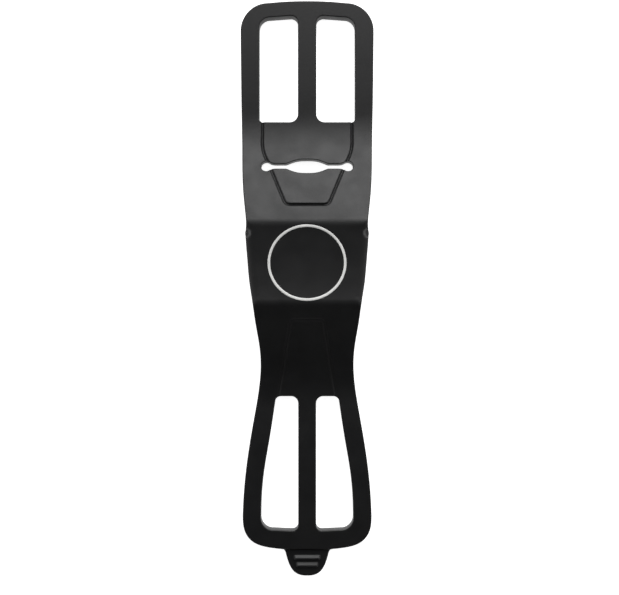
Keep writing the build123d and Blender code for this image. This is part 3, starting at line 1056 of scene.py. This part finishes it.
class PHONEMOUNT_OT_tab(bpy.types.Operator):
    """Build the pull tab with its two ribs, and its thin root"""

    bl_idname = "phonemount.tab"
    bl_label = "Pull tab"

    def execute(self, context):
        section("tab_web", whole(tab_web_plan()), bend=("lower_frame", "tab", *along_y(TAB_CUT, TAB_LOW)))
        section("pull_tab", whole(pull_tab_plan()), ride="tab")
        return {"FINISHED"}


def lamp(name, place, aim, size, watts):
    """A rectangular soft light at a place, turned to face a point."""
    light = bpy.data.lights.new(name, "AREA")
    light.shape = "RECTANGLE"
    light.size, light.size_y = size
    light.energy = watts
    obj = bpy.data.objects.new(name, light)
    obj.location = place
    obj.rotation_euler = (Vector(aim) - Vector(place)).to_track_quat("-Z", "Y").to_euler()
    bpy.context.scene.collection.objects.link(obj)
    return obj


def floor_finish():
    """White studio paper: it takes the object's soft shadow as matt paint does, and shows itself
    near white to the camera and in reflections."""
    made, tree, place, out = blank("white_studio_paper")
    if tree is None:
        return made
    tone = tuple(bpy.context.scene.phone_mount_colours.floor)
    path = add(tree, "ShaderNodeLightPath")
    fibre = add(tree, "ShaderNodeTexNoise", {"Vector": place, "Scale": per(1.5), "Detail": 3.0})
    base = add(tree, "ShaderNodeMix", {
        0: fibre.outputs["Fac"], 6: tone, 7: linear("#f9f9f9")}, data_type="RGBA")
    seen = add(tree, "ShaderNodeMath", {
        0: path.outputs["Is Camera Ray"], 1: path.outputs["Is Glossy Ray"]}, operation="MAXIMUM")
    shown = add(tree, "ShaderNodeMath", {
        0: seen.outputs[0], 1: path.outputs["Is Transmission Ray"]}, operation="MAXIMUM")
    matt = add(tree, "ShaderNodeBsdfDiffuse", {"Color": base.outputs[2]})
    glow = add(tree, "ShaderNodeEmission", {"Color": (1, 1, 1, 1), "Strength": 0.9})
    dark = add(tree, "ShaderNodeEmission", {"Strength": 0.0})
    chosen = add(tree, "ShaderNodeMixShader", {0: shown.outputs[0], 1: dark.outputs[0], 2: glow.outputs[0]})
    both = add(tree, "ShaderNodeAddShader", {0: matt.outputs[0], 1: chosen.outputs[0]})
    tree.links.new(both.outputs[0], out.inputs["Surface"])
    return made


class PHONEMOUNT_OT_stage(bpy.types.Operator):
    """Set the floor, the lamps, the world and the camera"""

    bl_idname = "phonemount.stage"
    bl_label = "Studio"

    def execute(self, context):
        scene = context.scene
        corners = np.array([(-1, -1), (1, -1), (1, 1), (-1, 1)]) * 1.5
        mesh = bpy.data.meshes.new("floor")
        mesh.from_pydata([(x, y, CAD_LOW[2] - 0.2 * MM) for x, y in corners.tolist()], [], [(0, 1, 2, 3)])
        floor = bpy.data.objects.new("floor", mesh)
        scene.collection.objects.link(floor)
        mesh.materials.append(floor_finish())

        middle = Vector((0, 0, 0.006))
        lamp("end_softbox", (0.08, 0.62, 0.42), middle, (0.7, 0.5), 6.6)
        lamp("left_strip", (-0.6, 0.05, 0.3), middle, (0.3, 0.8), 1.4)
        lamp("right_strip", (0.6, 0.05, 0.3), middle, (0.3, 0.8), 1.4)

        world = bpy.data.worlds.new("studio")
        scene.world = world
        world.use_nodes = True
        world.node_tree.nodes.clear()
        sky = add(world.node_tree, "ShaderNodeBackground", {"Color": (1, 1, 1, 1), "Strength": 0.07})
        out = add(world.node_tree, "ShaderNodeOutputWorld")
        world.node_tree.links.new(sky.outputs[0], out.inputs["Surface"])

        scene.view_settings.view_transform = "Standard"
        data = bpy.data.cameras.new("camera")
        data.lens, data.sensor_width = 43.96, 36.0
        camera = bpy.data.objects.new("camera", data)
        camera.location = (0.78 * MM, -3.14 * MM, 253.5 * MM)
        scene.collection.objects.link(camera)
        scene.camera = camera
        return {"FINISHED"}


OPERATORS = (
    PHONEMOUNT_OT_pad, PHONEMOUNT_OT_ring, PHONEMOUNT_OT_straps, PHONEMOUNT_OT_upper_frame,
    PHONEMOUNT_OT_upper_loops, PHONEMOUNT_OT_lower_frame, PHONEMOUNT_OT_lower_loops,
    PHONEMOUNT_OT_tab, PHONEMOUNT_OT_stage,
)


class PHONEMOUNT_PT_panel(bpy.types.Panel):
    """Sizes, colours and build steps"""

    bl_idname = "PHONEMOUNT_PT_panel"
    bl_label = "Phone Mount"
    bl_space_type = "VIEW_3D"
    bl_region_type = "UI"
    bl_category = "Phone Mount"

    def draw(self, context):
        for group in (context.scene.phone_mount_sizes, context.scene.phone_mount_colours):
            for name in group.__annotations__:
                self.layout.prop(group, name)
        for operator in OPERATORS:
            self.layout.operator(operator.bl_idname)


CLASSES = (PhoneMountSizes, PhoneMountColours, *OPERATORS, PHONEMOUNT_PT_panel)


def register():
    for cls in CLASSES:
        bpy.utils.register_class(cls)
    bpy.types.Scene.phone_mount_sizes = bpy.props.PointerProperty(type=PhoneMountSizes)
    bpy.types.Scene.phone_mount_colours = bpy.props.PointerProperty(type=PhoneMountColours)


def unregister():
    del bpy.types.Scene.phone_mount_sizes
    del bpy.types.Scene.phone_mount_colours
    for cls in reversed(CLASSES):
        bpy.utils.unregister_class(cls)


def main():
    register()
    for operator in OPERATORS:
        name = operator.bl_idname.split(".")[1]
        getattr(bpy.ops.phonemount, name)()


if __name__ == "__main__":
    main()
